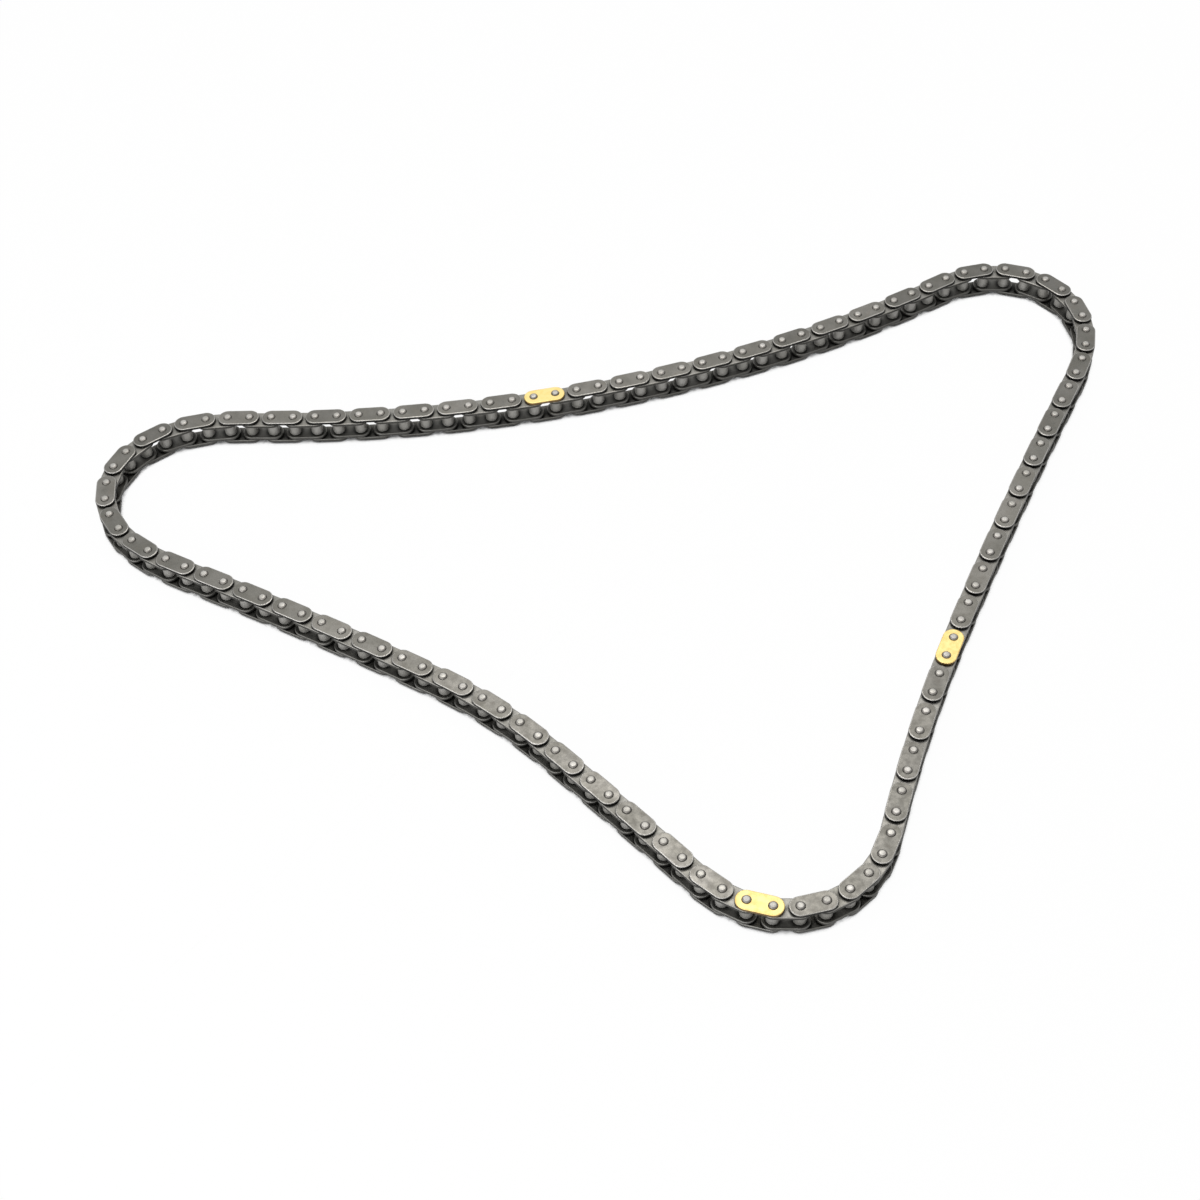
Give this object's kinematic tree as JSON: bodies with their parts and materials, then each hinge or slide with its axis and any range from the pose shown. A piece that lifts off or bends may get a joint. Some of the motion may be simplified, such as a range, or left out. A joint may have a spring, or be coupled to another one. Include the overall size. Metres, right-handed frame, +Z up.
{
  "type": "timing chain",
  "caption": "Endless simplex bush chain in a slack three-cornered loop: outer links with riveted pins, inner links with bushes, and a few coloured timing plates.",
  "frame": {"origin": "middle of the loop's bounding box, on the plane of the pins' lower ends, where the chain rests", "axes": "+X to the right in the picture, along the loop's longest extent; +Y away from the camera; +Z up, across the chain's width"},
  "size_m": [0.4352, 0.3382, 0.0132],
  "materials": {
    "chain_steel": "dark oiled steel with bright stamped edges",
    "marker_plate": "pale gold plated timing plate"
  },
  "bodies": {
    "root": {"outer_links_base": "chain_steel", "inner_links_base": "chain_steel", "marker_plate_12": "marker_plate"},
    "link_after_1": {"link_after_1": "chain_steel"},
    "link_after_2": {"link_after_2": "chain_steel", "marker_plate_78": "marker_plate"},
    "link_after_3": {"link_after_3": "chain_steel"},
    "link_after_4": {"link_after_4": "chain_steel"},
    "link_after_5": {"link_after_5": "chain_steel"},
    "link_after_6": {"link_after_6": "chain_steel"},
    "link_after_7": {"link_after_7": "chain_steel"},
    "link_after_8": {"link_after_8": "chain_steel"},
    "link_after_9": {"link_after_9": "chain_steel"},
    "links_after_10_to_11": {"links_after_10_to_11": "chain_steel"},
    "links_after_12_to_13": {"links_after_12_to_13": "chain_steel"},
    "links_after_14_to_15": {"links_after_14_to_15": "chain_steel"},
    "links_after_16_to_18": {"links_after_16_to_18": "chain_steel"},
    "links_after_19_to_21": {"links_after_19_to_21": "chain_steel"},
    "links_after_22_to_25": {"outer_links_after_22_to_25": "chain_steel", "inner_links_after_22_to_25": "chain_steel"},
    "links_after_26_to_29": {"outer_links_after_26_to_29": "chain_steel", "inner_links_after_26_to_29": "chain_steel"},
    "links_after_30_to_34": {"outer_links_after_30_to_34": "chain_steel", "inner_links_after_30_to_34": "chain_steel"},
    "links_after_35_to_40": {"outer_links_after_35_to_40": "chain_steel", "inner_links_after_35_to_40": "chain_steel"},
    "links_after_41_to_47": {"outer_links_after_41_to_47": "chain_steel", "inner_links_after_41_to_47": "chain_steel"},
    "links_after_48_to_55": {"outer_links_after_48_to_55": "chain_steel", "inner_links_after_48_to_55": "chain_steel"},
    "link_before_1": {"link_before_1": "chain_steel"},
    "link_before_2": {"link_before_2": "chain_steel"},
    "link_before_3": {"link_before_3": "chain_steel"},
    "link_before_4": {"link_before_4": "chain_steel"},
    "link_before_5": {"link_before_5": "chain_steel"},
    "link_before_6": {"link_before_6": "chain_steel"},
    "link_before_7": {"link_before_7": "chain_steel"},
    "link_before_8": {"link_before_8": "chain_steel"},
    "link_before_9": {"link_before_9": "chain_steel"},
    "links_before_10_to_11": {"links_before_10_to_11": "chain_steel"},
    "links_before_12_to_13": {"links_before_12_to_13": "chain_steel"},
    "links_before_14_to_15": {"links_before_14_to_15": "chain_steel", "marker_plate_62": "marker_plate"},
    "links_before_16_to_18": {"links_before_16_to_18": "chain_steel"},
    "links_before_19_to_21": {"links_before_19_to_21": "chain_steel"},
    "links_before_22_to_25": {"outer_links_before_22_to_25": "chain_steel", "inner_links_before_22_to_25": "chain_steel"},
    "links_before_26_to_29": {"outer_links_before_26_to_29": "chain_steel", "inner_links_before_26_to_29": "chain_steel"},
    "links_before_30_to_34": {"outer_links_before_30_to_34": "chain_steel", "inner_links_before_30_to_34": "chain_steel"},
    "links_before_35_to_40": {"outer_links_before_35_to_40": "chain_steel", "inner_links_before_35_to_40": "chain_steel"},
    "links_before_41_to_47": {"outer_links_before_41_to_47": "chain_steel", "inner_links_before_41_to_47": "chain_steel"},
    "links_before_48_to_55": {"outer_links_before_48_to_55": "chain_steel", "inner_links_before_48_to_55": "chain_steel"}
  },
  "joints": [
    {"name": "hinge_pin_22", "type": "hinge", "parent": "root", "child": "links_before_48_to_55", "pos_m": [0.06111, 0.11921, 0], "axis": [0, 0, 1], "range_deg": [-3.55, 10.66]},
    {"name": "hinge_pin_30", "type": "hinge", "parent": "links_before_48_to_55", "child": "links_before_41_to_47", "pos_m": [0.13195, 0.14711, 0], "axis": [0, 0, 1], "range_deg": [-19, 25]},
    {"name": "hinge_pin_37", "type": "hinge", "parent": "links_before_41_to_47", "child": "links_before_35_to_40", "pos_m": [0.19416, 0.16089, 0], "axis": [0, 0, 1], "range_deg": [-34, 22]},
    {"name": "hinge_pin_43", "type": "hinge", "parent": "links_before_35_to_40", "child": "links_before_30_to_34", "pos_m": [0.21104, 0.11103, 0], "axis": [0, 0, 1], "range_deg": [-38, 23]},
    {"name": "hinge_pin_48", "type": "hinge", "parent": "links_before_30_to_34", "child": "links_before_26_to_29", "pos_m": [0.18926, 0.06877, 0], "axis": [0, 0, 1], "range_deg": [-17, 20]},
    {"name": "hinge_pin_52", "type": "hinge", "parent": "links_before_26_to_29", "child": "links_before_22_to_25", "pos_m": [0.17093, 0.03537, 0], "axis": [0, 0, 1], "range_deg": [-18, 23]},
    {"name": "hinge_pin_56", "type": "hinge", "parent": "links_before_22_to_25", "child": "links_before_19_to_21", "pos_m": [0.15306, 0.00171, 0], "axis": [0, 0, 1], "range_deg": [-18, 22]},
    {"name": "hinge_pin_59", "type": "hinge", "parent": "links_before_19_to_21", "child": "links_before_16_to_18", "pos_m": [0.13997, -0.02369, 0], "axis": [0, 0, 1], "range_deg": [-17, 20]},
    {"name": "hinge_pin_62", "type": "hinge", "parent": "links_before_16_to_18", "child": "links_before_14_to_15", "pos_m": [0.12715, -0.04922, 0], "axis": [0, 0, 1], "range_deg": [-17, 19]},
    {"name": "hinge_pin_64", "type": "hinge", "parent": "links_before_14_to_15", "child": "links_before_12_to_13", "pos_m": [0.11898, -0.06643, 0], "axis": [0, 0, 1], "range_deg": [-16, 18]},
    {"name": "hinge_pin_66", "type": "hinge", "parent": "links_before_12_to_13", "child": "links_before_10_to_11", "pos_m": [0.11123, -0.08383, 0], "axis": [0, 0, 1], "range_deg": [-16, 18]},
    {"name": "hinge_pin_68", "type": "hinge", "parent": "links_before_10_to_11", "child": "link_before_9", "pos_m": [0.1039, -0.10142, 0], "axis": [0, 0, 1], "range_deg": [-16, 18]},
    {"name": "hinge_pin_69", "type": "hinge", "parent": "link_before_9", "child": "link_before_8", "pos_m": [0.1004, -0.11027, 0], "axis": [0, 0, 1], "range_deg": [-17, 19]},
    {"name": "hinge_pin_70", "type": "hinge", "parent": "link_before_8", "child": "link_before_7", "pos_m": [0.09701, -0.11918, 0], "axis": [0, 0, 1], "range_deg": [-17, 20]},
    {"name": "hinge_pin_71", "type": "hinge", "parent": "link_before_7", "child": "link_before_6", "pos_m": [0.09373, -0.12812, 0], "axis": [0, 0, 1], "range_deg": [-18, 22]},
    {"name": "hinge_pin_72", "type": "hinge", "parent": "link_before_6", "child": "link_before_5", "pos_m": [0.09055, -0.1371, 0], "axis": [0, 0, 1], "range_deg": [-23, 18]},
    {"name": "hinge_pin_73", "type": "hinge", "parent": "link_before_5", "child": "link_before_4", "pos_m": [0.08629, -0.14561, 0], "axis": [0, 0, 1], "range_deg": [-21, 17]},
    {"name": "hinge_pin_74", "type": "hinge", "parent": "link_before_4", "child": "link_before_3", "pos_m": [0.08049, -0.15317, 0], "axis": [0, 0, 1], "range_deg": [-20, 17]},
    {"name": "hinge_pin_75", "type": "hinge", "parent": "link_before_3", "child": "link_before_2", "pos_m": [0.07313, -0.15922, 0], "axis": [0, 0, 1], "range_deg": [-20, 17]},
    {"name": "hinge_pin_76", "type": "hinge", "parent": "link_before_2", "child": "link_before_1", "pos_m": [0.06451, -0.16327, 0], "axis": [0, 0, 1], "range_deg": [-20, 17]},
    {"name": "hinge_pin_8", "type": "hinge", "parent": "root", "child": "links_after_48_to_55", "pos_m": [-0.06968, 0.09497, 0], "axis": [0, 0, 1], "range_deg": [-27, 19]},
    {"name": "hinge_pin_0", "type": "hinge", "parent": "links_after_48_to_55", "child": "links_after_41_to_47", "pos_m": [-0.14582, 0.09563, 0], "axis": [0, 0, 1], "range_deg": [-25, 19]},
    {"name": "hinge_pin_117", "type": "hinge", "parent": "links_after_41_to_47", "child": "links_after_35_to_40", "pos_m": [-0.20711, 0.07966, 0], "axis": [0, 0, 1], "range_deg": [-22, 34]},
    {"name": "hinge_pin_111", "type": "hinge", "parent": "links_after_35_to_40", "child": "links_after_30_to_34", "pos_m": [-0.199, 0.02787, 0], "axis": [0, 0, 1], "range_deg": [-23, 38]},
    {"name": "hinge_pin_106", "type": "hinge", "parent": "links_after_30_to_34", "child": "links_after_26_to_29", "pos_m": [-0.15921, 0.00191, 0], "axis": [0, 0, 1], "range_deg": [-20, 17]},
    {"name": "hinge_pin_102", "type": "hinge", "parent": "links_after_26_to_29", "child": "links_after_22_to_25", "pos_m": [-0.12651, -0.01765, 0], "axis": [0, 0, 1], "range_deg": [-23, 18]},
    {"name": "hinge_pin_98", "type": "hinge", "parent": "links_after_22_to_25", "child": "links_after_19_to_21", "pos_m": [-0.09423, -0.03788, 0], "axis": [0, 0, 1], "range_deg": [-22, 18]},
    {"name": "hinge_pin_95", "type": "hinge", "parent": "links_after_19_to_21", "child": "links_after_16_to_18", "pos_m": [-0.0703, -0.0535, 0], "axis": [0, 0, 1], "range_deg": [-20, 17]},
    {"name": "hinge_pin_92", "type": "hinge", "parent": "links_after_16_to_18", "child": "links_after_14_to_15", "pos_m": [-0.04793, -0.07125, 0], "axis": [0, 0, 1], "range_deg": [-19, 17]},
    {"name": "hinge_pin_90", "type": "hinge", "parent": "links_after_14_to_15", "child": "links_after_12_to_13", "pos_m": [-0.03439, -0.08465, 0], "axis": [0, 0, 1], "range_deg": [-18, 16]},
    {"name": "hinge_pin_88", "type": "hinge", "parent": "links_after_12_to_13", "child": "links_after_10_to_11", "pos_m": [-0.02178, -0.09892, 0], "axis": [0, 0, 1], "range_deg": [-17, 16]},
    {"name": "hinge_pin_86", "type": "hinge", "parent": "links_after_10_to_11", "child": "link_after_9", "pos_m": [-0.00926, -0.11328, 0], "axis": [0, 0, 1], "range_deg": [-17, 16]},
    {"name": "hinge_pin_85", "type": "hinge", "parent": "link_after_9", "child": "link_after_8", "pos_m": [-0.00304, -0.1205, 0], "axis": [0, 0, 1], "range_deg": [-18, 16]},
    {"name": "hinge_pin_84", "type": "hinge", "parent": "link_after_8", "child": "link_after_7", "pos_m": [0.00315, -0.12773, 0], "axis": [0, 0, 1], "range_deg": [-18, 16]},
    {"name": "hinge_pin_83", "type": "hinge", "parent": "link_after_7", "child": "link_after_6", "pos_m": [0.00932, -0.13499, 0], "axis": [0, 0, 1], "range_deg": [-20, 17]},
    {"name": "hinge_pin_82", "type": "hinge", "parent": "link_after_6", "child": "link_after_5", "pos_m": [0.01546, -0.14227, 0], "axis": [0, 0, 1], "range_deg": [-22, 18]},
    {"name": "hinge_pin_81", "type": "hinge", "parent": "link_after_5", "child": "link_after_4", "pos_m": [0.02158, -0.14957, 0], "axis": [0, 0, 1], "range_deg": [-18, 23]},
    {"name": "hinge_pin_80", "type": "hinge", "parent": "link_after_4", "child": "link_after_3", "pos_m": [0.02856, -0.15606, 0], "axis": [0, 0, 1], "range_deg": [-17, 21]},
    {"name": "hinge_pin_79", "type": "hinge", "parent": "link_after_3", "child": "link_after_2", "pos_m": [0.03664, -0.1611, 0], "axis": [0, 0, 1], "range_deg": [-17, 20]},
    {"name": "hinge_pin_78", "type": "hinge", "parent": "link_after_2", "child": "link_after_1", "pos_m": [0.04564, -0.16419, 0], "axis": [0, 0, 1], "range_deg": [-17, 20]}
  ],
  "couplings": [
    {"joint": "hinge_pin_30", "follows": "hinge_pin_22", "ratio": 0.88527},
    {"joint": "hinge_pin_37", "follows": "hinge_pin_22", "ratio": -1.7367},
    {"joint": "hinge_pin_43", "follows": "hinge_pin_22", "ratio": -2.1081},
    {"joint": "hinge_pin_48", "follows": "hinge_pin_22", "ratio": 0.40402},
    {"joint": "hinge_pin_52", "follows": "hinge_pin_22", "ratio": 0.69382},
    {"joint": "hinge_pin_56", "follows": "hinge_pin_22", "ratio": 0.60361},
    {"joint": "hinge_pin_59", "follows": "hinge_pin_22", "ratio": 0.44249},
    {"joint": "hinge_pin_62", "follows": "hinge_pin_22", "ratio": 0.29849},
    {"joint": "hinge_pin_64", "follows": "hinge_pin_22", "ratio": 0.23582},
    {"joint": "hinge_pin_66", "follows": "hinge_pin_22", "ratio": 0.21495},
    {"joint": "hinge_pin_68", "follows": "hinge_pin_22", "ratio": 0.24536},
    {"joint": "hinge_pin_69", "follows": "hinge_pin_22", "ratio": 0.29775},
    {"joint": "hinge_pin_70", "follows": "hinge_pin_22", "ratio": 0.40637},
    {"joint": "hinge_pin_71", "follows": "hinge_pin_22", "ratio": 0.61139},
    {"joint": "hinge_pin_72", "follows": "hinge_pin_22", "ratio": -0.68679},
    {"joint": "hinge_pin_73", "follows": "hinge_pin_22", "ratio": -0.51643},
    {"joint": "hinge_pin_74", "follows": "hinge_pin_22", "ratio": -0.45783},
    {"joint": "hinge_pin_75", "follows": "hinge_pin_22", "ratio": -0.45013},
    {"joint": "hinge_pin_76", "follows": "hinge_pin_22", "ratio": -0.4546},
    {"joint": "hinge_pin_8", "follows": "hinge_pin_22", "ratio": -1.0584},
    {"joint": "hinge_pin_0", "follows": "hinge_pin_22", "ratio": -0.93553},
    {"joint": "hinge_pin_117", "follows": "hinge_pin_22", "ratio": 1.7119},
    {"joint": "hinge_pin_111", "follows": "hinge_pin_22", "ratio": 2.0794},
    {"joint": "hinge_pin_106", "follows": "hinge_pin_22", "ratio": -0.40248},
    {"joint": "hinge_pin_102", "follows": "hinge_pin_22", "ratio": -0.67472},
    {"joint": "hinge_pin_98", "follows": "hinge_pin_22", "ratio": -0.58579},
    {"joint": "hinge_pin_95", "follows": "hinge_pin_22", "ratio": -0.43247},
    {"joint": "hinge_pin_92", "follows": "hinge_pin_22", "ratio": -0.28532},
    {"joint": "hinge_pin_90", "follows": "hinge_pin_22", "ratio": -0.21248},
    {"joint": "hinge_pin_88", "follows": "hinge_pin_22", "ratio": -0.1755},
    {"joint": "hinge_pin_86", "follows": "hinge_pin_22", "ratio": -0.18034},
    {"joint": "hinge_pin_85", "follows": "hinge_pin_22", "ratio": -0.20849},
    {"joint": "hinge_pin_84", "follows": "hinge_pin_22", "ratio": -0.27164},
    {"joint": "hinge_pin_83", "follows": "hinge_pin_22", "ratio": -0.38859},
    {"joint": "hinge_pin_82", "follows": "hinge_pin_22", "ratio": -0.59833},
    {"joint": "hinge_pin_81", "follows": "hinge_pin_22", "ratio": 0.68827},
    {"joint": "hinge_pin_80", "follows": "hinge_pin_22", "ratio": 0.51409},
    {"joint": "hinge_pin_79", "follows": "hinge_pin_22", "ratio": 0.45105},
    {"joint": "hinge_pin_78", "follows": "hinge_pin_22", "ratio": 0.44265}
  ]
}
